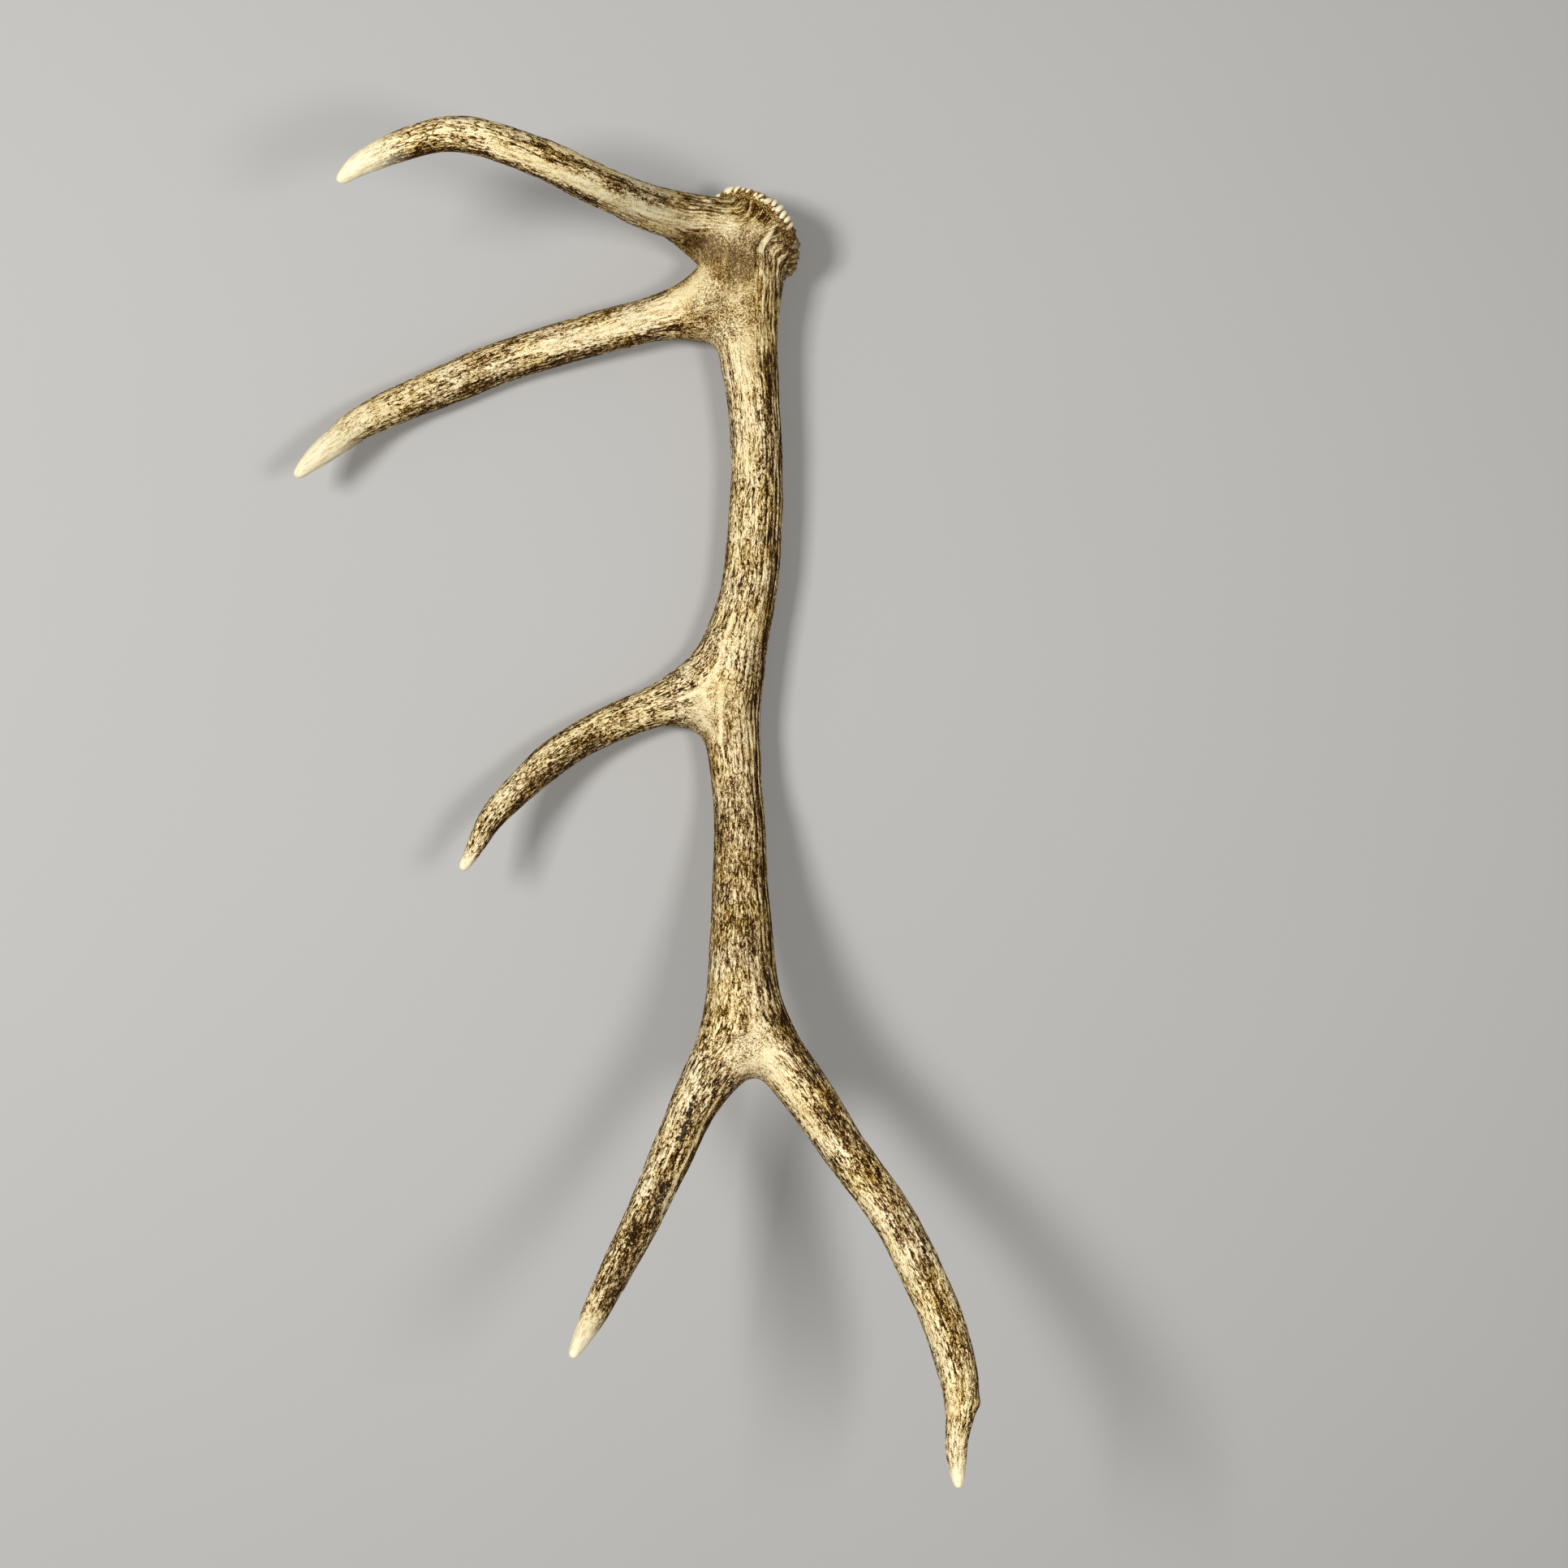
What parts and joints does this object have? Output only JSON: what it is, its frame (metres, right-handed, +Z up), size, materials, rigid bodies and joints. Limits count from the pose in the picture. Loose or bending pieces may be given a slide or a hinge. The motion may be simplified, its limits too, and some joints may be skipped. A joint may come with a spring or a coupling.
{
  "type": "deer antler",
  "caption": "Shed deer antler lying on its back: a knobbly burr, a curved beam, brow, bez and trez tines along one side and a two-tined fork at the far end.",
  "frame": {"origin": "on the resting surface, under the middle of the antler's bounding box", "axes": "+Y along the beam from the far fork to the burr, +X away from the brow, bez and trez tines, +Z up from the surface it lies on"},
  "size_m": [0.5015, 0.9956, 0.2985],
  "materials": {
    "antler_bone": "dry antler bone: cream with dark brown stain in its grooves, matt, with pale polished tips"
  },
  "bodies": {
    "root": {"burr_base": "antler_bone", "brow_tine": "antler_bone", "bez_tine": "antler_bone", "beam_lower": "antler_bone", "trez_tine": "antler_bone", "beam_upper": "antler_bone", "short_fork_tine": "antler_bone", "long_fork_tine": "antler_bone"}
  },
  "joints": []
}
